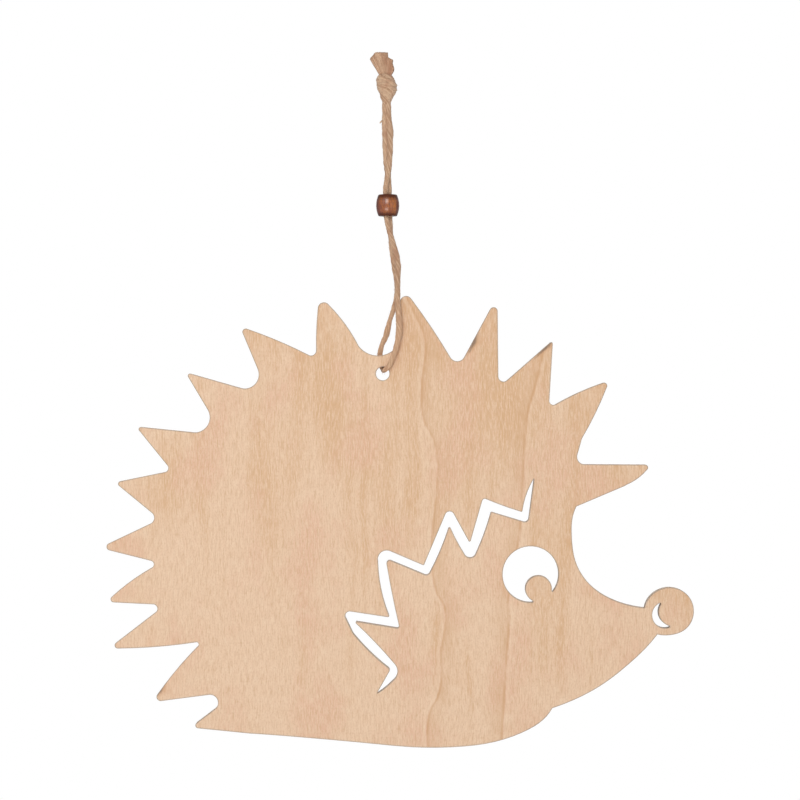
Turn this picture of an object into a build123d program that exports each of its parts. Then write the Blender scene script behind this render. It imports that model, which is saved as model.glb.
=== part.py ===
from build123d import *
from math import cos, pi, radians, sin, sqrt, tan
import os

# Flat hedgehog ornament of three-ply wood that hangs on a knotted cord with one bead.
# Millimetres, +Z up, +X towards the nose, front face towards -Y.
# The origin is the hanging point: the middle of the doubled cord, right under the knot.

# Plywood panel
PANEL_WIDTH = 200.0
PANEL_HEIGHT = 154.0
CORE_THICKNESS = 2.8
VENEER_THICKNESS = 0.6
TIP_ROUND = 2.1
GAP_ROUND = 4.6

# Hanging hole, as a drop below the knot and a shift to the side
HOLE_X = -1.7
HOLE_Z = -94.0
HOLE_DIAMETER = 4.6

# Eye with its pupil, which stays joined to the panel at the rim of the eye
EYE_DIAMETER = 19.1
PUPIL_DIAMETER = 9.1
PUPIL_NECK_DEPTH = 0.66
PUPIL_DIRECTION = -61.4
HORN_ROUND = 0.25

# Cord, bead and knot
CORD_DIAMETER = 1.6
STRAND_GAP = 0.25
PAIR_TURN = 36.0
LEG_CLEARANCE = 0.7
SEAT_CLEARANCE = 0.5
BEAD_DIAMETER = 7.9
BEAD_END_DIAMETER = 6.3
BEAD_LENGTH = 7.4
BEAD_CLEARANCE = 0.275
BEAD_RIM_ROUND = 0.5
BEAD_Z = -36.6
KNOT_X = -0.4
KNOT_HEIGHT = 8.4
KNOT_DIAMETER = 6.9
KNOT_END_DIAMETER = 4.2
WRAP_COUNT = 3
TAIL_HEIGHT = 7.1
TAIL_DEPTH = 2.4

# Worked out from the sizes above
HALF_THICKNESS = CORE_THICKNESS / 2 + VENEER_THICKNESS
CORD_RADIUS = CORD_DIAMETER / 2
LEG_Y = HALF_THICKNESS + CORD_RADIUS + LEG_CLEARANCE
SEAT_Z = HOLE_Z + HOLE_DIAMETER / 2 - CORD_RADIUS - SEAT_CLEARANCE
PAIR_HALF = (CORD_DIAMETER + STRAND_GAP) / 2
PAIR_X = PAIR_HALF * sin(radians(PAIR_TURN))
PAIR_Y = PAIR_HALF * cos(radians(PAIR_TURN))
BEAD_BORE = 2 * (PAIR_HALF + CORD_RADIUS + BEAD_CLEARANCE)

# Place of the hole in the panel, as shares of its width and height
HOLE_SHARES = (0.470, 0.828)
PANEL_LEFT = HOLE_X - HOLE_SHARES[0] * PANEL_WIDTH
PANEL_BOTTOM = HOLE_Z - HOLE_SHARES[1] * PANEL_HEIGHT

# Back and spines, from the belly up the tail and over the top to the forehead.
# Each row is a round peg: share of width, share of height, and its rounding.
# A rounding above zero is a share of TIP_ROUND and makes a spine's tip,
# one below zero is a share of GAP_ROUND and makes the gap between two spines.
# A fourth value bows the flank that follows outwards, or inwards below zero, by that share of its length.
SPINE_SHARES = [
    (0.244, 0.032, 0.00),
    (0.156, 0.050, 0.48),
    (0.176, 0.100, -0.59),
    (0.092, 0.113, 0.68, 0.022),
    (0.153, 0.229, -0.16, 0.018),
    (0.019, 0.227, 0.52),
    (0.079, 0.308, -0.32),
    (0.012, 0.329, 0.52, 0.030),
    (0.074, 0.406, -0.27),
    (0.006, 0.445, 0.60),
    (0.070, 0.509, -0.47),
    (0.024, 0.584, 0.44),
    (0.098, 0.619, -0.30),
    (0.058, 0.705, 0.35),
    (0.150, 0.731, -1.11),
    (0.142, 0.823, 0.37),
    (0.235, 0.826, -1.04),
    (0.237, 0.920, 0.56, 0.018),
    (0.348, 0.879, -0.37, 0.015),
    (0.370, 0.972, 1.00, 0.040),
    (0.462, 0.921, -1.78),
    (0.510, 0.986, 1.00, 0.014),
    (0.597, 0.873, -0.59),
    (0.659, 0.966, 0.65),
    (0.676, 0.822, -0.39),
    (0.757, 0.894, 0.26),
    (0.761, 0.768, -0.31, 0.025),
    (0.847, 0.801, 0.52, 0.020),
    (0.835, 0.671, -1.19),
    (0.814, 0.644, -0.56),
    (0.917, 0.620, 0.48, 0.060),
    (0.873, 0.603, 1.94),
    (0.800, 0.534, 0.00),
]

# Smooth curves that close the outline: face, nose, chin and belly
FACE_SHARES = [
    (0.793, 0.506),
    (0.792, 0.468),
    (0.799, 0.411),
    (0.822, 0.363),
    (0.862, 0.328),
    (0.916, 0.310),
]
NOSE_SHARES = [
    (0.930, 0.341),
    (0.958, 0.355),
    (0.988, 0.340),
    (1.000, 0.302),
    (0.988, 0.265),
    (0.962, 0.250),
    (0.938, 0.251),
]
CHIN_SHARES = [(0.919, 0.222), (0.887, 0.183), (0.844, 0.140), (0.802, 0.110), (0.759, 0.088)]
BELLY_SHARES = [
    (0.744, 0.063),
    (0.711, 0.036),
    (0.656, 0.012),
    (0.593, 0.002),
    (0.534, 0.001),
    (0.448, 0.010),
    (0.346, 0.022),
    (0.244, 0.032),
]

# Cut-outs: middle of the eye, crescent on the nose, and zigzag behind the cheek in rows like the spines'
EYE_SHARES = (0.722, 0.384)
CRESCENT_TIP_SHARES = [(0.946, 0.322), (0.962, 0.269)]
CRESCENT_SIDE_SHARES = [(0.929, 0.293), (0.940, 0.296)]
ZIGZAG_SHARES = [
    (0.728, 0.597, 0.00),
    (0.712, 0.509, 0.65),
    (0.656, 0.519, -0.09, 0.020),
    (0.619, 0.434, 0.97, 0.020),
    (0.584, 0.485, -0.09, 0.022),
    (0.544, 0.392, 0.66),
    (0.482, 0.408, -0.24, -0.008),
    (0.495, 0.269, 0.27),
    (0.426, 0.277, -0.09, 0.015),
    (0.476, 0.169, 1.82, 0.030),
    (0.460, 0.120, 0.00),
    (0.477, 0.172, -0.22, 0.028),
    (0.437, 0.268, 1.94),
    (0.414, 0.292, 0.73),
    (0.479, 0.292, -0.09, 0.045),
    (0.477, 0.417, 1.45),
    (0.539, 0.407, -0.09),
    (0.584, 0.513, 0.74),
    (0.618, 0.459, -0.09),
    (0.644, 0.545, 0.44, -0.014),
    (0.706, 0.525, -0.09, 0.050),
    (0.728, 0.597, 0.00),
]

# Route of each strand, from the knot through the bead and the hole, in millimetres
FRONT_ROUTE = [
    (-PAIR_X, -PAIR_Y, 0),
    (-PAIR_X, -PAIR_Y, -41.5),
    (1.7, -2.3, -51.5),
    (3.4, -LEG_Y, -61.0),
    (4.1, -LEG_Y, -71.0),
    (3.9, -LEG_Y, -80.0),
    (2.4, -LEG_Y, -87.5),
    (HOLE_X, -LEG_Y, SEAT_Z),
    (HOLE_X, 0, SEAT_Z),
]
BACK_ROUTE = [
    (PAIR_X, PAIR_Y, 0),
    (PAIR_X, PAIR_Y, -41.5),
    (1.9, 2.3, -51.0),
    (3.2, LEG_Y, -60.0),
    (2.8, LEG_Y, -68.5),
    (0.9, LEG_Y, -76.0),
    (-1.5, LEG_Y, -82.5),
    (-2.6, LEG_Y, -88.0),
    (HOLE_X, LEG_Y, SEAT_Z),
    (HOLE_X, 0, SEAT_Z),
]
BEND_SHARE = 0.45

# Frayed tails above the knot: share of the tail's height, then shift and half width
# as shares of the knot's diameter
LEFT_TAIL_SHARES = [(0.00, -0.18, 0.116), (0.45, -0.42, 0.23), (0.78, -0.52, 0.29), (1.00, -0.38, 0.17)]
RIGHT_TAIL_SHARES = [(0.00, 0.11, 0.116), (0.30, 0.20, 0.20), (0.65, 0.14, 0.18), (1.00, -0.03, 0.10)]


def on_panel(shares):
    """Place on the panel's face of a pair of shares."""
    return Vector(PANEL_LEFT + shares[0] * PANEL_WIDTH, PANEL_BOTTOM + shares[1] * PANEL_HEIGHT)


def peg(row):
    """Middle and signed radius of one round peg, and the bulge of the belt's run after it."""
    rounding = TIP_ROUND if row[2] > 0 else GAP_ROUND
    return on_panel(row), row[2] * rounding, row[3] if len(row) > 3 else 0


def belt(pegs):
    """Runs and arcs of a belt that goes round the pegs, tips on its right and gaps on its left."""
    normals = []
    for (here, radius, bulge), (there, next_radius, _) in zip(pegs, pegs[1:]):
        along = (there - here).normalized()
        lean = (radius - next_radius) / (there - here).length
        normal = along * lean + along.rotate(Axis.Z, 90) * sqrt(1 - lean**2)
        start = here + normal * radius
        end = there + normal * next_radius
        if bulge:
            ThreePointArc(start, (start + end) / 2 + normal * (end - start).length * bulge, end)
        else:
            Line(start, end)
        normals.append(normal)
    for (middle, radius, _), arriving, leaving in zip(pegs[1:], normals, normals[1:]):
        if radius != 0:
            halfway = (arriving + leaving).normalized()
            ThreePointArc(middle + arriving * radius, middle + halfway * radius, middle + leaving * radius)


# Outline of the whole hedgehog with its cut-outs, shared by the three plies
forehead = on_panel(SPINE_SHARES[-1])
face = [on_panel(shares) for shares in FACE_SHARES]
nose = [on_panel(shares) for shares in NOSE_SHARES]
chin = [on_panel(shares) for shares in CHIN_SHARES]
belly = [on_panel(shares) for shares in BELLY_SHARES]
eye_middle = on_panel(EYE_SHARES)
pupil_reach = (EYE_DIAMETER - PUPIL_DIAMETER) / 2 + PUPIL_NECK_DEPTH
pupil_middle = eye_middle + Vector(pupil_reach, 0).rotate(Axis.Z, PUPIL_DIRECTION)
crescent_tips = [on_panel(shares) for shares in CRESCENT_TIP_SHARES]
crescent_sides = [on_panel(shares) for shares in CRESCENT_SIDE_SHARES]

with BuildSketch() as eye_cut:
    with Locations(eye_middle):
        Circle(EYE_DIAMETER / 2)
    with Locations(pupil_middle):
        Circle(PUPIL_DIAMETER / 2, mode=Mode.SUBTRACT)
    fillet(eye_cut.vertices(), HORN_ROUND)

with BuildSketch() as crescent_cut:
    with BuildLine():
        for side in crescent_sides:
            ThreePointArc(crescent_tips[0], side, crescent_tips[1])
    make_face()
    fillet(crescent_cut.vertices(), HORN_ROUND)

with BuildSketch() as zigzag_cut:
    with BuildLine():
        belt([peg(row) for row in ZIGZAG_SHARES])
    make_face()

with BuildSketch() as hedgehog:
    with BuildLine():
        belt([peg(row) for row in SPINE_SHARES])
        Spline([forehead] + face)
        Spline([face[-1]] + nose)
        Spline([nose[-1]] + chin)
        Spline([chin[-1]] + belly)
    make_face()
    for cut in (eye_cut, crescent_cut, zigzag_cut):
        add(cut.sketch, mode=Mode.SUBTRACT)
    with Locations((HOLE_X, HOLE_Z)):
        Circle(HOLE_DIAMETER / 2, mode=Mode.SUBTRACT)

# Three plies of the panel, cut through in one go
with BuildPart() as core_ply:
    with BuildSketch(Plane.XZ):
        add(hedgehog.sketch)
    extrude(amount=CORE_THICKNESS / 2, both=True)

with BuildPart() as front_veneer:
    with BuildSketch(Plane.XZ.offset(CORE_THICKNESS / 2)):
        add(hedgehog.sketch)
    extrude(amount=VENEER_THICKNESS)

with BuildPart() as back_veneer:
    with BuildSketch(Plane.XZ.offset(-CORE_THICKNESS / 2)):
        add(hedgehog.sketch)
    extrude(amount=-VENEER_THICKNESS)


def bend_radii(route):
    """Largest radius that the two runs at each corner of a cord's route leave room for."""
    points = [Vector(point) for point in route]
    radii = []
    for before, corner, after in zip(points, points[1:], points[2:]):
        shorter = min((corner - before).length, (after - corner).length)
        turn = (corner - before).get_angle(after - corner)
        radii.append(BEND_SHARE * shorter / tan(radians(turn / 2)))
    return radii


# Two strands of the hanging cord, which meet in the middle of the hole
with BuildPart() as front_strand:
    with BuildLine() as front_path:
        FilletPolyline(*FRONT_ROUTE, radius=bend_radii(FRONT_ROUTE))
    with BuildSketch(Plane(FRONT_ROUTE[0], z_dir=front_path.line % 0)):
        Circle(CORD_RADIUS)
    sweep()

with BuildPart() as back_strand:
    with BuildLine() as back_path:
        FilletPolyline(*BACK_ROUTE, radius=bend_radii(BACK_ROUTE))
    with BuildSketch(Plane(BACK_ROUTE[0], z_dir=back_path.line % 0)):
        Circle(CORD_RADIUS)
    sweep()

# Barrel bead with a bore for both strands
with BuildPart() as bead:
    with BuildSketch(Plane.XZ) as bead_profile:
        with BuildLine():
            Polyline(
                (BEAD_END_DIAMETER / 2, BEAD_Z + BEAD_LENGTH / 2),
                (BEAD_BORE / 2, BEAD_Z + BEAD_LENGTH / 2),
                (BEAD_BORE / 2, BEAD_Z - BEAD_LENGTH / 2),
                (BEAD_END_DIAMETER / 2, BEAD_Z - BEAD_LENGTH / 2),
            )
            ThreePointArc(
                (BEAD_END_DIAMETER / 2, BEAD_Z - BEAD_LENGTH / 2),
                (BEAD_DIAMETER / 2, BEAD_Z),
                (BEAD_END_DIAMETER / 2, BEAD_Z + BEAD_LENGTH / 2),
            )
        make_face()
        fillet(bead_profile.vertices().group_by(Axis.X)[-1], BEAD_RIM_ROUND)
    revolve(axis=Axis.Z)

# Knot, with one bulge for each wrap of the cord
knot_waist = KNOT_X + KNOT_END_DIAMETER / 2
knot_side = KNOT_X + KNOT_DIAMETER / 2
wrap_height = KNOT_HEIGHT / WRAP_COUNT
with BuildPart() as knot:
    with BuildSketch(Plane.XZ):
        with BuildLine():
            Polyline((knot_waist, KNOT_HEIGHT), (KNOT_X, KNOT_HEIGHT), (KNOT_X, 0), (knot_waist, 0))
            for turn in range(WRAP_COUNT):
                ThreePointArc(
                    (knot_waist, turn * wrap_height),
                    (knot_side, (turn + 0.5) * wrap_height),
                    (knot_waist, (turn + 1) * wrap_height),
                )
        make_face()
    revolve(axis=Axis((KNOT_X, 0, 0), (0, 0, 1)))


def tail_depth(height_share):
    """Half depth of a frayed tail, which opens up from the cord's own radius."""
    return CORD_RADIUS + (TAIL_DEPTH / 2 - CORD_RADIUS) * height_share


# Two frayed tails of cord above the knot, each lofted through oval sections
with BuildPart() as left_tail:
    for height_share, shift_share, width_share in LEFT_TAIL_SHARES:
        with BuildSketch(Plane.XY.offset(KNOT_HEIGHT + height_share * TAIL_HEIGHT)):
            with Locations((KNOT_X + shift_share * KNOT_DIAMETER, 0)):
                Ellipse(width_share * KNOT_DIAMETER, tail_depth(height_share))
    loft(ruled=True)

with BuildPart() as right_tail:
    for height_share, shift_share, width_share in RIGHT_TAIL_SHARES:
        with BuildSketch(Plane.XY.offset(KNOT_HEIGHT + height_share * TAIL_HEIGHT)):
            with Locations((KNOT_X + shift_share * KNOT_DIAMETER, 0)):
                Ellipse(width_share * KNOT_DIAMETER, tail_depth(height_share))
    loft(ruled=True)

# Labels and STEP files, one for each piece
os.makedirs("parts", exist_ok=True)
front_veneer.part.label = "front_veneer"
export_step(front_veneer.part, "parts/front_veneer.step")
core_ply.part.label = "core_ply"
export_step(core_ply.part, "parts/core_ply.step")
back_veneer.part.label = "back_veneer"
export_step(back_veneer.part, "parts/back_veneer.step")
front_strand.part.label = "cord_front_strand"
export_step(front_strand.part, "parts/cord_front_strand.step")
back_strand.part.label = "cord_back_strand"
export_step(back_strand.part, "parts/cord_back_strand.step")
bead.part.label = "wooden_bead"
export_step(bead.part, "parts/wooden_bead.step")
knot.part.label = "cord_knot"
export_step(knot.part, "parts/cord_knot.step")
left_tail.part.label = "frayed_tail_left"
export_step(left_tail.part, "parts/frayed_tail_left.step")
right_tail.part.label = "frayed_tail_right"
export_step(right_tail.part, "parts/frayed_tail_right.step")

# Cord figures: bend radii, length, and volume against section times length
for name, strand, path, route in (
    ("front", front_strand, front_path, FRONT_ROUTE),
    ("back", back_strand, back_path, BACK_ROUTE),
):
    length = path.wires()[0].length
    section = pi * CORD_RADIUS**2
    print(name, "radii", [round(radius, 2) for radius in bend_radii(route)])
    print(name, "length", round(length, 2))
    print(name, "volume share", round(strand.part.volume / (section * length), 4))
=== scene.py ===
import bpy
import random
from math import cos, pi, radians, sin
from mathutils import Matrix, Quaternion, Vector


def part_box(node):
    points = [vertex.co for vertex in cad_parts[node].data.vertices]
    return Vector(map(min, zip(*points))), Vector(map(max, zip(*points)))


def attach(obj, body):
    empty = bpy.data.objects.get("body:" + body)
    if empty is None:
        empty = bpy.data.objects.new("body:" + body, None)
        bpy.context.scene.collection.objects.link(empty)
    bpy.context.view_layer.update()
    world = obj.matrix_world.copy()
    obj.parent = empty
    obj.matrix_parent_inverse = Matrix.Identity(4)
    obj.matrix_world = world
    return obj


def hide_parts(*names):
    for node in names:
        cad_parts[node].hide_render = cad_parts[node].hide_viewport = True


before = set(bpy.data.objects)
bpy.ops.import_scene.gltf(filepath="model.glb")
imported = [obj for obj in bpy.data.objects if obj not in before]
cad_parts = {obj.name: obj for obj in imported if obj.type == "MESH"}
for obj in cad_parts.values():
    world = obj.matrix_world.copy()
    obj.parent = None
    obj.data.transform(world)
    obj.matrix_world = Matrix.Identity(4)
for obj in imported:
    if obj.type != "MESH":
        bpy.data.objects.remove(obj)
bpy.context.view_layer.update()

# Flat plywood hedgehog on a doubled jute twine, with a lacquered bead, a knot and two frayed ends.
# Metres, in the frame of the solids: +Z up, +X towards the nose, front face towards -Y.
MM = 0.001

# Camera: its distance, which decides how much of the cut walls shows, and the picture's width at the panel
CAMERA_DISTANCE = 1.0
PICTURE_WIDTH = 0.273
PICTURE_MIDDLE = (4.2 * MM, -103.0 * MM)
SENSOR_WIDTH = 36.0
NEAREST_SEEN = 0.01
FARTHEST_SEEN = 20.0

# Twine: soft yarns laid left-handed, which swell and thin along their run
TWINE_DIAMETER = 1.6 * MM
YARN_COUNT = 10
YARN_RADIUS = 0.25 * MM
YARN_OFFSET = 0.58 * MM
LAY_LENGTH = 11.0 * MM
TWINE_STEP = 0.2 * MM
ROUTE_RESOLUTION = 24
SWELL_SHARE = 0.08
SWELL_PER_MM = 0.9
UNEVEN_SHARE = 0.02
WELD_DISTANCE = 1e-7

# Loose fibres that stand out of the twine: count on a length, steps free of them at its ends, reach along it,
# lift off it, and taper as (share of the reach, share of the radius)
FUZZ_COUNT = 70
FUZZ_LENGTH = 100.0 * MM
FUZZ_FREE_STEPS = 4
FUZZ_RADIUS = 0.025 * MM
FUZZ_ROOT = TWINE_DIAMETER * 0.45
FUZZ_REACH_MM = (1.0, 3.2)
FUZZ_LIFT_MM = (0.10, 0.70)
FUZZ_BEND = 1.6
FUZZ_TAPER = ((0.0, 1.0), (0.35, 1.0), (0.7, 0.8), (1.0, 0.3))


class Value:
    """A number in a material that can be written in sums."""

    def __init__(self, finish, socket):
        self.finish = finish
        self.socket = socket

    def math(self, operation, *terms):
        return self.finish.add("ShaderNodeMath", {"operation": operation}, dict(enumerate(terms)))[0]

    def __add__(self, other):
        return self.math("ADD", self, other)

    def __sub__(self, other):
        return self.math("SUBTRACT", self, other)

    def __rsub__(self, other):
        return self.math("SUBTRACT", other, self)

    def __mul__(self, other):
        return self.math("MULTIPLY", self, other)

    def __truediv__(self, other):
        return self.math("DIVIDE", self, other)

    def __abs__(self):
        return self.math("ABSOLUTE", self)

    def above(self, low, high):
        """0 below low, 1 above high, and a smooth step between them."""
        settings = {"interpolation_type": "SMOOTHSTEP"}
        return self.finish.add("ShaderNodeMapRange", settings, {0: self, 1: low, 2: high})[0]


class Node:
    """A node of a material, whose outputs are read by name or number."""

    def __init__(self, finish, node):
        self.finish = finish
        self.node = node

    def __getitem__(self, key):
        return Value(self.finish, self.node.outputs[key])


class Finish:
    """The nodes of a material or of the studio round it, and the methods that add to them."""

    def __init__(self, owner, shader="Principled BSDF"):
        owner.use_nodes = True
        self.owner = owner
        self.tree = owner.node_tree
        self.shader = self.tree.nodes[shader]

    def add(self, kind, settings=None, inputs=None):
        node = self.tree.nodes.new(kind)
        for key, setting in (settings or {}).items():
            if key == "points":
                curve = node.mapping.curves[0].points
                for place, (at, height) in enumerate(setting):
                    point = curve[place] if place < 2 else curve.new(at, height)
                    point.location = (at, height)
                node.mapping.update()
            else:
                setattr(node, key, setting)
        self.feed(node, inputs or {})
        return Node(self, node)

    def feed(self, node, inputs):
        for key, value in inputs.items():
            if isinstance(value, Value):
                self.tree.links.new(value.socket, node.inputs[key])
            elif isinstance(value, tuple) and len(value) == 3 and node.inputs[key].type == "RGBA":
                node.inputs[key].default_value = (*value, 1)
            else:
                node.inputs[key].default_value = value

    def mix(self, share, one, other):
        """A colour between two colours."""
        mixed = self.add("ShaderNodeMix", {"data_type": "RGBA"}, {0: share, 6: one, 7: other})
        return mixed[2]

    def noise(self, x, y, z, detail=2.0, roughness=0.5):
        """Noise at a place, with a grain one unit wide."""
        place = self.add("ShaderNodeCombineXYZ", {}, {0: x, 1: y, 2: z})[0]
        inputs = {"Vector": place, "Scale": 1.0, "Detail": detail, "Roughness": roughness}
        return self.add("ShaderNodeTexNoise", {}, inputs)["Fac"]

    def split(self, vector):
        """The three numbers of a vector."""
        parts = self.add("ShaderNodeSeparateXYZ", {}, {0: vector})
        return parts[0], parts[1], parts[2]

    def set(self, **inputs):
        """Set inputs of the shader, with _ for a space in their names."""
        self.feed(self.shader, {key.replace("_", " "): value for key, value in inputs.items()})

    def bump(self, height, strength, distance):
        """Fine relief of the surface."""
        inputs = {"Height": height, "Strength": strength, "Distance": distance}
        self.set(Normal=self.add("ShaderNodeBump", {}, inputs)[0])

    def millimetres(self):
        """The place on the piece, as three numbers in millimetres."""
        coordinates = self.add("ShaderNodeTexCoord")["Object"]
        inputs = {0: coordinates, 1: (1 / MM, 1 / MM, 1 / MM)}
        return self.split(self.add("ShaderNodeVectorMath", {"operation": "MULTIPLY"}, inputs)[0])

    def looked_at(self):
        """1 for the camera's rays and for those of reflections and clear things, 0 for light that falls."""
        seen = self.add("ShaderNodeLightPath")
        rays = seen["Is Camera Ray"] + seen["Is Glossy Ray"] + seen["Is Transmission Ray"]
        return rays.above(0.0, 1.0)


def new_finish(name):
    """A new material, ready for its nodes."""
    return Finish(bpy.data.materials.new(name))


# Wood tones
VENEER_FAIR = (0.850, 0.602, 0.414)
VENEER_WARM = (0.725, 0.445, 0.247)
VENEER_PALE = (0.89, 0.675, 0.490)
VENEER_DARK = (0.66, 0.395, 0.212)
VENEER_BLUSH = (0.79, 0.475, 0.318)
FIGURE_LINE = (0.62, 0.315, 0.145)
RIM_LINE_TONE = (0.34, 0.27, 0.21)
EDGE_FAIR = (0.52, 0.37, 0.24)
EDGE_TONE = (0.36, 0.25, 0.165)
EDGE_DARK = (0.20, 0.13, 0.085)

# Box round the panel, in millimetres
PANEL_BOTTOM_MM = -222.0
PANEL_RISE_MM = 155.0
PANEL_LEFT_MM = -96.0
PANEL_RUN_MM = 200.0

# Figure lines of the veneer, each as (height, side) in millimetres
FRONT_LINES = (
    (
        (-220.8, 13.8), (-208.9, 14.5), (-204.4, 16.9), (-198.6, 18.2), (-188.4, 18.2), (-179.9, 19.6),
        (-173.0, 19.2), (-168.0, 16.5), (-130.4, 16.9), (-124.2, 17.2), (-116.7, 15.8), (-109.9, 12.4),
        (-98.0, 11.7), (-82.6, 12.8), (-75.8, 10.4),
    ),
    (
        (-217.4, 39.0), (-205.5, 39.7), (-191.8, 40.4), (-178.2, 41.4), (-171.3, 41.1), (-149.1, 44.8),
        (-137.2, 45.9), (-127.0, 46.2), (-116.7, 46.6), (-106.5, 47.9), (-98.0, 50.3), (-86.0, 53.0),
    ),
)

# Dark marks along the edge of the front, each as (side, height) in millimetres and its lean to the right
FRONT_MARKS = ((29.2, -83.6, 0.45), (53.8, -85.2, 1.0), (-77.8, -202.2, 0.73))

# Figure of the veneer as noise: grains per mm across and along, shift, detail and roughness
BROAD_FIGURE = {
    "sway": (0.02, 0.03, 0.0, 2.0, 0.5),
    "clouds": (0.045, 0.017, 3.0, 2.0, 0.5),
    "uneven": (0.15, 0.10, 11.0, 2.0, 0.5),
    "blush": (0.06, 0.035, 15.0, 2.0, 0.5),
}
FINE_FIGURE = {
    "streaks": (0.24, 0.014, 0.0, 4.0, 0.6),
    "pores": (2.4, 1.3, 5.0, 1.0, 0.5),
    "flecks": (2.2, 0.24, 7.0, 3.0, 0.6),
    "gleams": (2.6, 0.30, 9.0, 3.0, 0.6),
}
SWAY_MM = 5.0

# Tones laid over the ground one by one: figure, where it begins and where it is full, share, tone
VENEER_LAYERS = (
    ("blush", 0.46, 0.68, 0.75, VENEER_BLUSH),
    ("flecks", 0.42, 0.66, 0.54, VENEER_DARK),
    ("gleams", 0.42, 0.66, 0.60, VENEER_PALE),
    ("pores", 0.45, 0.72, 0.36, VENEER_DARK),
)

# Widths of a figure line, of the dark band on one side of it and of the pale rim on the other
LINE_MM = 0.8
LINE_WAVER_MM = 0.6
BAND_MM = 7.0
RIM_MM = 1.0

# Reach of a dark mark: its core and its haze across the edge, and both along it
MARK_CORE_MM = 1.5
MARK_HAZE_MM = 4.0
MARK_RISE_MM = 5.6
MARK_WAVER_MM = 1.2

# Dark line on the faces along the rims of the cut, as wide as the rounding that the Bevel node reads
RIM_LINE_RADIUS = 0.9 * MM
RIM_LINE_SAMPLES = 8


def panel_shares(side, up):
    """Shares of the panel's width and height at a place in millimetres."""
    return (side - PANEL_LEFT_MM) / PANEL_RUN_MM, (up - PANEL_BOTTOM_MM) / PANEL_RISE_MM


def veneer_figure(finish, x, z, seed):
    """Each noise of the figure by its name, the fine ones swaying with the grain."""
    figure = {}
    across = x
    for group in (BROAD_FIGURE, FINE_FIGURE):
        for key, (wide, tall, shift, detail, roughness) in group.items():
            figure[key] = finish.noise(across * wide, seed + shift, z * tall, detail, roughness)
        across = x + figure["sway"] * SWAY_MM
    return figure


def draw_line(finish, tone, line, side, reach, height, figure):
    """Lay a figure line over a tone, with its dark band and its pale rim."""
    points = []
    for up, across in line:
        across_share, up_share = panel_shares(across, up)
        points.append((up_share, across_share))
    curve = finish.add("ShaderNodeFloatCurve", {"points": points}, {"Value": height})[0]
    waver = (figure["flecks"] - 0.5) * LINE_WAVER_MM
    beside = (reach - curve) * PANEL_RUN_MM * side + waver
    uneven = figure["uneven"].above(0.36, 0.64) * 0.34
    band = (1 - beside.above(0.0, BAND_MM)) * beside.above(-0.3, 0.2)
    thin = 1 - abs(beside).above(0.0, LINE_MM)
    rim = 1 - abs(beside + RIM_MM).above(0.2, 0.9)
    tone = finish.mix(band * (uneven + 0.16), tone, VENEER_DARK)
    tone = finish.mix(thin * (uneven + 0.24), tone, FIGURE_LINE)
    return finish.mix(rim * 0.25, tone, VENEER_PALE)


def draw_mark(finish, tone, x, rise, lean, figure):
    """Lay a dark mark with a brown haze over a tone, along a leaning edge."""
    beside = abs(x - rise * lean + (figure["flecks"] - 0.5) * MARK_WAVER_MM)
    along = abs(rise) / MARK_RISE_MM
    for reach, share, colour in ((MARK_HAZE_MM, 0.6, FIGURE_LINE), (MARK_CORE_MM, 0.85, EDGE_DARK)):
        tone = finish.mix((1 - (beside / reach + along).above(0.1, 1.0)) * share, tone, colour)
    return tone


def veneer(name, lines, marks, seed):
    """Rotary-cut veneer with upright grain, short vessel flecks, figure lines, a dark line along the rims and
    scorched cut walls, with painted light that makes it darker towards the top and the right.
    """
    finish = new_finish(name)
    x, y, z = finish.millimetres()
    reach, height = panel_shares(x, z)
    figure = veneer_figure(finish, x, z, seed)
    # Painted light: besides the wood's own clouds and streaks, the tone is made darker towards the top and
    # the right of the panel, and paler at the lower left.
    pale_tone_and_painted_light = figure["clouds"] * 1.8 + figure["streaks"] * 1.4 - height * 0.72 - reach * 0.2 - 0.80
    tone = finish.mix(pale_tone_and_painted_light.above(-0.08, 0.48), VENEER_WARM, VENEER_FAIR)
    for key, begins, full, share, colour in VENEER_LAYERS:
        tone = finish.mix(figure[key].above(begins, full) * share, tone, colour)
    for line, side in zip(lines, (1, -1)):
        tone = draw_line(finish, tone, line, side, reach, height, figure)
    for side, up, lean in marks:
        tone = draw_mark(finish, tone, x - side, z - up, lean, figure)
    # A dark line along the rims of the faces, where the rounded normal from the Bevel node turns away from
    # the face.
    rounded = finish.add("ShaderNodeBevel", {"samples": RIM_LINE_SAMPLES}, {"Radius": RIM_LINE_RADIUS})[0]
    turned = 1 - abs(finish.split(rounded)[1])
    tone = finish.mix(turned.above(0.01, 0.12) * 0.80, tone, RIM_LINE_TONE)
    facing = abs(finish.split(finish.add("ShaderNodeTexCoord")["Normal"])[1])
    wall = 1 - facing.above(0.3, 0.7)
    scorch = finish.noise(x * 0.5, y * 4.0, z * 0.5, detail=3.0)
    edge = finish.mix(scorch.above(0.30, 0.75), EDGE_FAIR, EDGE_TONE)
    finish.set(Base_Color=finish.mix(wall, tone, edge), Roughness=figure["flecks"] * 0.12 + 0.52)
    relief = figure["flecks"] * 0.6 + figure["gleams"] * 0.4
    finish.bump(relief, strength=0.12, distance=0.12 * MM)
    return finish.owner


# Glue lines of the core: where they begin and where they are full, from the middle of the plate
GLUE_MM = (1.05, 1.30)


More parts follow.
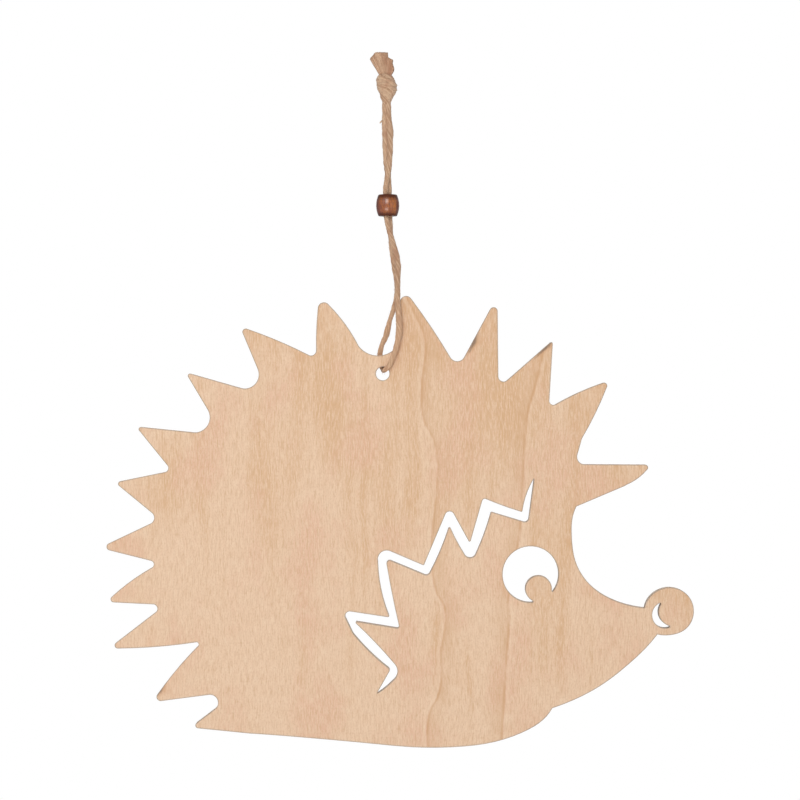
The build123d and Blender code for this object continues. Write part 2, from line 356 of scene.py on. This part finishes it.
def core_edge(name):
    """Cut wall of the core: browned wood with fibres that run through the plate, darker at the glue."""
    finish = new_finish(name)
    x, y, z = finish.millimetres()
    fibres = finish.noise(x * 3.0, y * 0.9, z * 3.0, detail=3.0, roughness=0.6)
    clouds = finish.noise(x * 0.06, y * 0.2, z * 0.06)
    tone = finish.mix(fibres.above(0.35, 0.7), EDGE_TONE, EDGE_DARK)
    tone = finish.mix(clouds.above(0.4, 0.7) * 0.4, tone, VENEER_DARK)
    tone = finish.mix(abs(y).above(*GLUE_MM) * 0.8, tone, EDGE_DARK)
    finish.set(Base_Color=tone, Roughness=fibres * 0.1 + 0.62)
    finish.bump(fibres, strength=0.2, distance=0.1 * MM)
    return finish.owner


# Bead tones, and the gloss coat over them
BEAD_RED = (0.225, 0.038, 0.009)
BEAD_ORANGE = (0.46, 0.125, 0.004)
BEAD_DARK_AND_SHADE = (0.055, 0.013, 0.008)
COAT_WEIGHT = 0.85
COAT_IOR = 1.65
COAT_ROUGHNESS = 0.20

# How far the painted shade at the bead's ends is shifted downwards
BEAD_SHADE_DROP_MM = 0.25


def bead_lacquer(name):
    """Stained wood with turning rings under a gloss coat, with painted shade at the ends and the sides:
    darker there and with less coat.
    """
    finish = new_finish(name)
    x, y, z = finish.millimetres()
    low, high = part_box("wooden_bead")
    middle = (low.z + high.z) / 2 / MM
    half = (high.z - low.z) / 2 / MM
    wide = (high.x - low.x) / 2 / MM
    grain = finish.noise(x * -0.5, y * 0.5, z * 0.14, detail=3.0, roughness=0.55)
    fine = finish.noise(x * 2.2, y * 2.2, z * 0.5)
    turning = finish.noise(0.0, 0.0, z * 1.6, detail=1.0)
    # Painted shade: the ends, the lower one more, and the sides left and right of the front are darkened, and
    # the sides pull the grain to the red tone.
    ends = abs((z - middle + BEAD_SHADE_DROP_MM) / half).above(0.40, 0.90)
    sides = abs(x / wide).above(0.55, 1.0)
    tone = finish.mix((grain * 1.6 - sides * 0.6).above(0.45, 1.0), BEAD_RED, BEAD_ORANGE)
    streaks = fine.above(0.46, 0.68)
    rings = turning.above(0.52, 0.70)
    for dark in (streaks * 0.50, rings * 0.35, sides * 0.50, ends * 0.85):
        tone = finish.mix(dark, tone, BEAD_DARK_AND_SHADE)
    # Painted shade: the coat is thinned at the sides and the ends, so that their rims reflect less of the
    # white round them.
    coat = (1 - sides * 0.9) * (1 - ends * 0.8) * COAT_WEIGHT
    finish.set(Base_Color=tone, Roughness=fine * 0.1 + 0.30, Specular_IOR_Level=0.05)
    finish.set(Coat_Weight=coat, Coat_IOR=COAT_IOR, Coat_Roughness=COAT_ROUGHNESS)
    finish.bump(turning, strength=0.05, distance=0.06 * MM)
    return finish.owner


# Jute tones, each as (brown, middle, straw)
JUTE_TONES = ((0.43, 0.246, 0.143), (0.60, 0.383, 0.246), (0.72, 0.508, 0.333))
JUTE_COMBED = ((0.40, 0.222, 0.130), (0.54, 0.327, 0.205), (0.69, 0.465, 0.305))
JUTE_SHADED = ((0.38, 0.195, 0.110), (0.53, 0.305, 0.185), (0.67, 0.44, 0.29))
JUTE_STAIN = (0.40, 0.185, 0.105)
JUTE_WARM = (0.74, 0.46, 0.275)
JUTE_TIP = JUTE_SHADED[0]

# Heights between which the twine turns from its warm lower tone to its own tone
WARM_MM = (-80.0, -62.0)


def jute(name, tones, along, contrast, tips):
    """Jute: straw and brown yarns with fibres along them, stained in places, darker at cut tips."""
    brown, middle, straw = tones
    finish = new_finish(name)
    x, y, z = finish.millimetres()
    run = finish.split(finish.add("ShaderNodeTexCoord")["UV"])
    shade = finish.add("ShaderNodeAttribute", {"attribute_name": "shade"})["Fac"]
    fibres = finish.noise(run[0] * along, run[1] * 3.0, shade * 9.0, roughness=0.6)
    patches = finish.noise(x * 0.5, y * 0.5, z * 0.2)
    stains = finish.noise(x * 0.4, y * 0.4 + 5.0, z * 0.25)
    mixed = shade * 0.6 + fibres * 0.9 + patches * 0.6 - 0.55
    tone = finish.mix((1 - mixed).above(0.45, 0.90) * contrast, middle, brown)
    tone = finish.mix(mixed.above(0.45, 0.90) * contrast, tone, straw)
    tone = finish.mix(stains.above(0.52, 0.72) * 0.5, tone, JUTE_STAIN)
    tone = finish.mix((1 - z.above(*WARM_MM)) * 0.40, tone, JUTE_WARM)
    tone = finish.mix(run[0].above(0.94, 1.0) * tips, tone, JUTE_TIP)
    finish.set(Base_Color=tone, Roughness=0.86, Sheen_Weight=0.15, Sheen_Roughness=0.5)
    finish.bump(fibres, strength=0.4, distance=0.12 * MM)
    return finish.owner


# Shade of each run laid so far and its number of points, by the name of the piece
shades = {}
luck = random.Random(7)


def read_spline(points):
    """Points of the smooth line that a route's points pull on."""
    curve = bpy.data.curves.new("route", "CURVE")
    curve.dimensions = "3D"
    curve.resolution_u = ROUTE_RESOLUTION
    spline = curve.splines.new("NURBS")
    spline.points.add(len(points) - 1)
    for point, place in zip(spline.points, points):
        point.co = (*place, 1)
    spline.order_u = 3
    spline.use_endpoint_u = True
    carrier = bpy.data.objects.new("route", curve)
    mesh = bpy.data.meshes.new_from_object(carrier)
    line = [vertex.co.copy() for vertex in mesh.vertices]
    bpy.data.meshes.remove(mesh)
    bpy.data.curves.remove(curve)
    return line


def even_steps(line, step):
    """The line again with points a step apart."""
    steps = [line[0].copy()]
    left = step
    for here, there in zip(line, line[1:]):
        run = (there - here).length
        while run > 0 and left <= run:
            here = here.lerp(there, left / run)
            run = (there - here).length
            steps.append(here.copy())
            left = step
        left -= run
    return steps


def sides_along(line, side):
    """A direction across the line at each point, carried along without twist."""
    sides = []
    before = None
    for place, point in enumerate(line):
        ahead = line[min(place + 1, len(line) - 1)] - line[max(place - 1, 0)]
        ahead.normalize()
        if before is not None:
            side = before.rotation_difference(ahead) @ side
        side = (side - ahead * side.dot(ahead)).normalized()
        sides.append((ahead, side))
        before = ahead
    return sides


def add_run(curve, points, radii):
    """One open run of a bevelled curve, with a shade of its own."""
    spline = curve.splines.new("POLY")
    spline.points.add(len(points) - 1)
    for point, place, radius in zip(spline.points, points, radii):
        point.co = (*place, 1)
        point.radius = radius
    shades[curve.name].append((luck.random(), len(points)))


def shade_points(piece, runs):
    """Give the points of each run its shade: first the two caps of each, last run first, then the rings."""
    rings = sum(count for shade, count in runs)
    sides = len(piece.data.vertices) // (rings + 2 * len(runs))
    values = [shade for shade, count in reversed(runs) for point in range(2 * sides)]
    values += [shade for shade, count in runs for point in range(count * sides)]
    piece.data.attributes.new("shade", "FLOAT", "POINT").data.foreach_set("value", values)


def as_piece(curve, name, material):
    """The bevelled curve as a mesh piece with its material."""
    piece = bpy.data.objects.new(name, curve)
    bpy.context.scene.collection.objects.link(piece)
    bpy.ops.object.select_all(action="DESELECT")
    piece.select_set(True)
    bpy.context.view_layer.objects.active = piece
    bpy.ops.object.convert(target="MESH")
    bpy.ops.object.shade_smooth()
    piece = bpy.context.view_layer.objects.active
    shade_points(piece, shades[name])
    bpy.ops.object.mode_set(mode="EDIT")
    bpy.ops.mesh.select_all(action="SELECT")
    bpy.ops.mesh.remove_doubles(threshold=WELD_DISTANCE)
    bpy.ops.mesh.normals_make_consistent(inside=False)
    bpy.ops.object.mode_set(mode="OBJECT")
    piece.data.materials.clear()
    piece.data.materials.append(material)
    return piece


def girth_at(girths, height):
    """Thickness of a twine at a height, between the (height, share) pairs of a list."""
    for (low, thin), (high, thick) in zip(girths, girths[1:]):
        if low <= height <= high:
            return thin + (thick - thin) * (height - low) / (high - low)
    return girths[0][1] if height < girths[0][0] else girths[-1][1]


def lay_twine(curve, line, side, girths, yarns=YARN_COUNT):
    """Yarns of one twine along a line, thinner the more there are, and the loose fibres that stand out."""
    frames = sides_along(line, side)
    step = (line[1] - line[0]).length
    slim = YARN_COUNT / yarns
    offset = YARN_OFFSET + YARN_RADIUS * (1.0 - slim)
    for number in range(yarns):
        places = []
        radii = []
        swell = luck.uniform(0.0, 2.0 * pi)
        for count, (point, (ahead, across)) in enumerate(zip(line, frames)):
            along = count * step
            turn = Quaternion(ahead, -2.0 * pi * (along / LAY_LENGTH + number / yarns))
            girth = girth_at(girths, point.z / MM)
            fat = girth + SWELL_SHARE * sin(along / MM * SWELL_PER_MM + swell)
            fat += luck.uniform(-UNEVEN_SHARE, UNEVEN_SHARE)
            places.append(point + turn @ across * offset * fat)
            radii.append(fat * slim)
        add_run(curve, places, radii)
    for fibre in range(int(FUZZ_COUNT * len(line) * step / FUZZ_LENGTH)):
        count = luck.randrange(FUZZ_FREE_STEPS, len(line) - FUZZ_FREE_STEPS)
        ahead, across = frames[count]
        out = Quaternion(ahead, luck.uniform(0.0, 2.0 * pi)) @ across
        reach = luck.uniform(*FUZZ_REACH_MM) * MM
        lift = luck.uniform(*FUZZ_LIFT_MM) * MM
        way = luck.choice((-1.0, 1.0))
        places = []
        radii = []
        for share, thin in FUZZ_TAPER:
            rise = FUZZ_ROOT + lift * share**FUZZ_BEND
            places.append(line[count] + ahead * way * reach * share + out * rise)
            radii.append(thin * FUZZ_RADIUS / YARN_RADIUS)
        add_run(curve, places, radii)


def fibre_curve(name, radius):
    """An empty curve whose runs become round fibres."""
    curve = bpy.data.curves.new(name, "CURVE")
    curve.dimensions = "3D"
    curve.bevel_depth = radius
    curve.bevel_resolution = 2
    curve.use_fill_caps = True
    shades[curve.name] = []
    return curve


def tie_on(piece, node):
    """Put a piece of twine in the place of its solid."""
    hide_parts(node)
    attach(piece, "cord")
    return piece


# Route of each strand from the hole up to the knot, in millimetres
HOLE_EXIT = (-1.4, 0.0, -92.95)
FRONT_ROUTE = [
    HOLE_EXIT,
    (-1.1, -2.6, -93.0),
    (0.5, -3.5, -91.6),
    (1.8, -3.5, -88.6),
    (3.28, -3.5, -84.0),
    (4.15, -3.5, -78.5),
    (3.45, -3.5, -71.0),
    (3.38, -3.5, -63.0),
    (3.8, -2.8, -56.0),
    (1.4, -1.8, -48.5),
    (0.35, -1.0, -44.3),
    (-0.50, -0.80, -41.0),
    (-0.55, -0.80, -37.4),
    (-0.80, -0.55, -32.7),
    (-0.62, -0.85, -29.6),
    (0.00, -0.90, -26.4),
    (0.66, -0.75, -20.8),
    (0.90, -0.25, -14.0),
    (0.62, 0.0, -9.4),
    (0.22, -0.35, -4.7),
    (0.22, -0.30, 0.0),
]
BACK_ROUTE = [
    HOLE_EXIT,
    (-1.7, 3.5, -93.0),
    (-2.85, 3.5, -88.2),
    (-2.2, 3.5, -84.5),
    (-0.4, 3.5, -80.8),
    (0.38, 3.5, -76.8),
    (2.55, 3.5, -70.2),
    (3.45, 3.5, -64.2),
    (2.0, 2.8, -56.0),
    (1.1, 1.8, -48.5),
    (0.85, 1.0, -44.3),
    (0.80, 0.80, -41.0),
    (0.60, 0.80, -37.4),
    (0.55, 0.55, -32.7),
    (0.40, 0.85, -29.2),
    (0.25, 0.90, -26.4),
    (-0.62, 0.75, -20.8),
    (-0.84, 0.25, -14.0),
    (-0.98, 0.0, -9.4),
    (-0.98, 0.30, -4.7),
    (-1.05, 0.30, 0.0),
]

# Thickness of each strand along its height, as (height, share), with the slubs of a soft yarn
UPPER_GIRTH = ((-44, 1.1), (-36, 1.05), (-27.5, 1.08), (-24, 1.28), (-14, 1.25))
FRONT_GIRTH = (
    (-93, 0.95), (-88, 1.12), (-84, 1.2), (-80, 1.33), (-76, 1.3), (-69, 1.05), (-58, 1.16),
    *UPPER_GIRTH, (-11.3, 1.55), (-9, 1.22), (-4, 1.08),
)
BACK_GIRTH = (
    (-93, 1.0), (-87, 1.12), (-84.5, 0.95), (-80, 1.28), (-76, 0.98), (-70, 0.98), (-58, 1.1), *UPPER_GIRTH,
    (-9, 1.2), (-4, 1.08),
)
WRAP_GIRTH = ((0, 1.22), (4, 1.32))
WRAP_YARNS = 12
BODY_GIRTH = (
    (-2.2, 1.1), (-0.9, 2.0), (0.0, 2.55), (0.7, 2.8), (1.4, 3.1), (2.0, 3.45), (2.7, 3.85), (3.4, 4.0),
    (4.2, 4.1), (5.5, 3.8), (6.1, 3.75), (6.8, 3.6), (7.4, 3.1), (8.0, 2.2), (8.7, 1.0),
)
BODY_YARNS = 18

# Burr that stands out of the back strand, in millimetres, and its thickness against a yarn's
BURR = ((-1.9, -0.3, -7.8), (-2.3, -0.45, -8.1), (-2.7, -0.5, -8.6))
BURR_GIRTH = (1.3, 1.1, 0.7)

yarn = jute("jute_yarn", JUTE_TONES, along=24.0, contrast=0.9, tips=0.0)
loose = jute("jute_fibres", JUTE_COMBED, along=2.0, contrast=0.85, tips=0.2)
shaded = jute("jute_fibres_shaded", JUTE_SHADED, along=2.0, contrast=0.85, tips=0.4)


def twine_line(points):
    """Even points along the smooth line of a route in millimetres."""
    return even_steps(read_spline([Vector(point) * MM for point in points]), TWINE_STEP)


def hang_strand(name, route, node, girths, burr=()):
    """One leg of the twine, from the middle of the hole to the knot, with a burr where it has one."""
    line = twine_line(route)
    curve = fibre_curve(name, YARN_RADIUS)
    lay_twine(curve, line, Vector((0, 0, 1)), girths)
    if burr:
        add_run(curve, [Vector(point) * MM for point in burr], BURR_GIRTH)
    return tie_on(as_piece(curve, name, yarn), node), line


strand_front, front_line = hang_strand("twine_front", FRONT_ROUTE, "cord_front_strand", FRONT_GIRTH)
strand_back, back_line = hang_strand("twine_back", BACK_ROUTE, "cord_back_strand", BACK_GIRTH, BURR)

# Knot in millimetres: a body of twisted yarns, and a thick wrap round it, down to the right in front
KNOT_X = -0.4
KNOT_TOP = 6.3
KNOT_FALL = 3.4
KNOT_RING = 2.6
KNOT_TURNS = 2.3
KNOT_SLANT = 0.48
WRAP_POINTS = 32
TUCKED_IN = 0.30
TUCK_RATE = 4.5
BODY_ROUTE = (
    (-0.5, 0.0, -2.2), (-0.35, 0.0, 0.6), (-0.05, 0.0, 2.4), (-0.36, 0.0, 4.2), (-1.05, 0.0, 6.6),
    (-1.05, 0.0, 8.7),
)


def wrap_route():
    """Route of the wrap, tucked in at both ends."""
    points = []
    for count in range(WRAP_POINTS):
        share = count / (WRAP_POINTS - 1)
        turn = pi + 2.0 * pi * KNOT_TURNS * share
        ring = KNOT_RING * min(1.0, TUCKED_IN + TUCK_RATE * share, TUCKED_IN + TUCK_RATE * (1.0 - share))
        x = ring * cos(turn)
        y = ring * sin(turn)
        points.append((KNOT_X + x, y, KNOT_TOP - KNOT_FALL * share - KNOT_SLANT * x))
    return points


knot_curve = fibre_curve("twine_knot", YARN_RADIUS)
lay_twine(knot_curve, twine_line(BODY_ROUTE), Vector((1, 0, 0)), BODY_GIRTH, BODY_YARNS)
lay_twine(knot_curve, twine_line(wrap_route()), Vector((0, 0, 1)), WRAP_GIRTH, WRAP_YARNS)
knot = tie_on(as_piece(knot_curve, "twine_knot", yarn), "cord_knot")

# Frayed ends above the knot, in millimetres: the line of each cut as (side, height), the middle and the
# half width of each at the neck, and the layers of yarns from front to back
LEFT_CUT = ((-5.8, 13.5), (-4.1, 15.5), (-0.3, 15.5))
RIGHT_CUT = ((-0.1, 13.9), (1.5, 13.1), (1.35, 12.0), (1.95, 10.2), (1.75, 9.3))
LEFT_NECK = (-1.0, 1.3)
RIGHT_NECK = (0.0, 0.65)
LEFT_YARNS = 30
RIGHT_YARNS = 22
FRAY_LAYERS = (-0.85, -0.45, 0.0, 0.45, 0.85)
NECK_HEIGHT = 7.3
NECK_DEPTH_SHARE = 0.8

# Yarns of the frayed ends: radius, its share at the foot and at the tip, and how far they stray
FIBRE_RADIUS = 0.34 * MM
FOOT_SHARE = 0.8
TIP_SHARE = 1.2
FRAY_STEPS = 8
FRAY_THICKNESS = (0.9, 1.1)
FRAY_DEPTH_MM = (-0.08, 0.08)
FRAY_HEIGHT_MM = (-0.12, 0.08)
FRAY_WAVER_MM = (-0.06, 0.06)


def along_cut(cut, share):
    """Side and height at a share of the way along a cut."""
    run = min(int(share * (len(cut) - 1)), len(cut) - 2)
    rest = share * (len(cut) - 1) - run
    return [here + (there - here) * rest for here, there in zip(cut[run], cut[run + 1])]


def fray(name, node, material, neck, cut, count):
    """A fan of combed-out yarns between the neck of the knot and the line of the cut, in layers."""
    curve = fibre_curve(name, FIBRE_RADIUS)
    neck_side, neck_half = neck
    for depth in FRAY_LAYERS:
        for fibre in range(count):
            share = (fibre + luck.uniform(0.1, 0.9)) / count
            side, height = along_cut(cut, share)
            foot_side = neck_side + (share - 0.5) * 2 * neck_half
            foot = Vector((foot_side, depth * NECK_DEPTH_SHARE, NECK_HEIGHT))
            top_depth = depth + luck.uniform(*FRAY_DEPTH_MM)
            top = Vector((side, top_depth, height + luck.uniform(*FRAY_HEIGHT_MM)))
            waver = Vector((luck.uniform(*FRAY_WAVER_MM), luck.uniform(*FRAY_WAVER_MM), 0))
            thick = luck.uniform(*FRAY_THICKNESS)
            places = []
            radii = []
            for step in range(FRAY_STEPS + 1):
                way = step / FRAY_STEPS
                places.append((foot.lerp(top, way) + waver * sin(2.0 * pi * way)) * MM)
                radii.append(thick * (FOOT_SHARE + (TIP_SHARE - FOOT_SHARE) * way))
            add_run(curve, places, radii)
    return tie_on(as_piece(curve, name, material), node)


tuft_left = fray("frayed_end_left", "frayed_tail_left", loose, LEFT_NECK, LEFT_CUT, LEFT_YARNS)
tuft_right = fray("frayed_end_right", "frayed_tail_right", shaded, RIGHT_NECK, RIGHT_CUT, RIGHT_YARNS)

# Materials of the plies and the bead, which keep their solids
veneer_front = veneer("beech_veneer_front", FRONT_LINES, FRONT_MARKS, seed=0.0)
veneer_back = veneer("beech_veneer_back", FRONT_LINES[1:], (), seed=21.0)
for node, material in (
    ("front_veneer", veneer_front),
    ("back_veneer", veneer_back),
    ("core_ply", core_edge("scorched_core")),
    ("wooden_bead", bead_lacquer("lacquered_bead")),
):
    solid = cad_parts[node]
    solid.data.materials.clear()
    solid.data.materials.append(material)

# Floor under the ornament: it shows the shadow near the middle, and turns white between two distances from it
FLOOR_Z = -0.30
FLOOR_SIZE = 8.0
FLOOR_TONE = (0.92, 0.92, 0.92)
FLOOR_GLOW = 0.4
FLOOR_FADE = (0.15, 0.42)
WHITE = (1, 1, 1)
bpy.ops.object.select_all(action="DESELECT")
bpy.ops.mesh.primitive_plane_add(size=FLOOR_SIZE, location=(0, 0, FLOOR_Z))
floor = bpy.context.view_layer.objects.active
floor.name = "floor"
ground = new_finish("pale_floor")
ground.set(Base_Color=FLOOR_TONE, Roughness=0.9)
glow = ground.add("ShaderNodeEmission", {}, {"Color": WHITE, "Strength": 1.0})
spot = ground.add("ShaderNodeTexCoord")["Object"]
far = ground.add("ShaderNodeVectorMath", {"operation": "LENGTH"}, {0: spot})["Value"]
share = (far.above(*FLOOR_FADE) * (1.0 - FLOOR_GLOW) + FLOOR_GLOW) * ground.looked_at()
matt = Value(ground, ground.shader.outputs[0])
blend = ground.add("ShaderNodeMixShader", {}, {0: share, 1: matt, 2: glow[0]})
ground.tree.links.new(blend[0].socket, ground.tree.nodes["Material Output"].inputs["Surface"])
floor.data.materials.append(ground.owner)

# Studio: white all round for the camera and for reflections, and a weaker light from all round
SKY_LIGHT = 0.32
studio = Finish(bpy.data.worlds.new("studio"), "Background")
studio.set(Color=WHITE, Strength=studio.looked_at() * (1.0 - SKY_LIGHT) + SKY_LIGHT)
bpy.context.scene.world = studio.owner

# Lamps, each as (name, place, target, width, height, power): the main one to the upper left in front
LAMPS = (
    ("front", (-0.20, -1.28, 0.46), (0, 0, -0.06), 0.72, 0.50, 6.25),
    ("low", (-0.12, -0.70, -0.26), (0, 0, -0.04), 0.40, 0.16, 0.95),
    ("side", (-0.85, -0.95, 0.45), (0, 0, -0.12), 0.6, 0.6, 0.9),
    ("fill", (0.9, -1.1, -0.1), (0, 0, -0.12), 0.8, 0.8, 0.8),
    ("back", (0.1, 1.5, 0.75), (0, 0, -0.12), 2.0, 2.0, 14.0),
)
for name, place, target, width, height, power in LAMPS:
    bpy.ops.object.light_add(type="AREA", location=place)
    lamp = bpy.context.view_layer.objects.active
    lamp.name = name
    lamp.data.shape = "RECTANGLE"
    lamp.data.size = width
    lamp.data.size_y = height
    lamp.data.energy = power
    lamp.rotation_euler = (Vector(target) - Vector(place)).to_track_quat("-Z", "Y").to_euler()

# Camera straight in front
bpy.ops.object.camera_add(
    location=(PICTURE_MIDDLE[0], -CAMERA_DISTANCE, PICTURE_MIDDLE[1]),
    rotation=(radians(90), 0, 0),
)
camera = bpy.context.view_layer.objects.active
camera.data.sensor_width = SENSOR_WIDTH
camera.data.lens = SENSOR_WIDTH * CAMERA_DISTANCE / PICTURE_WIDTH
camera.data.clip_start = NEAREST_SEEN
camera.data.clip_end = FARTHEST_SEEN
bpy.context.scene.camera = camera
bpy.context.scene.view_settings.view_transform = "Standard"
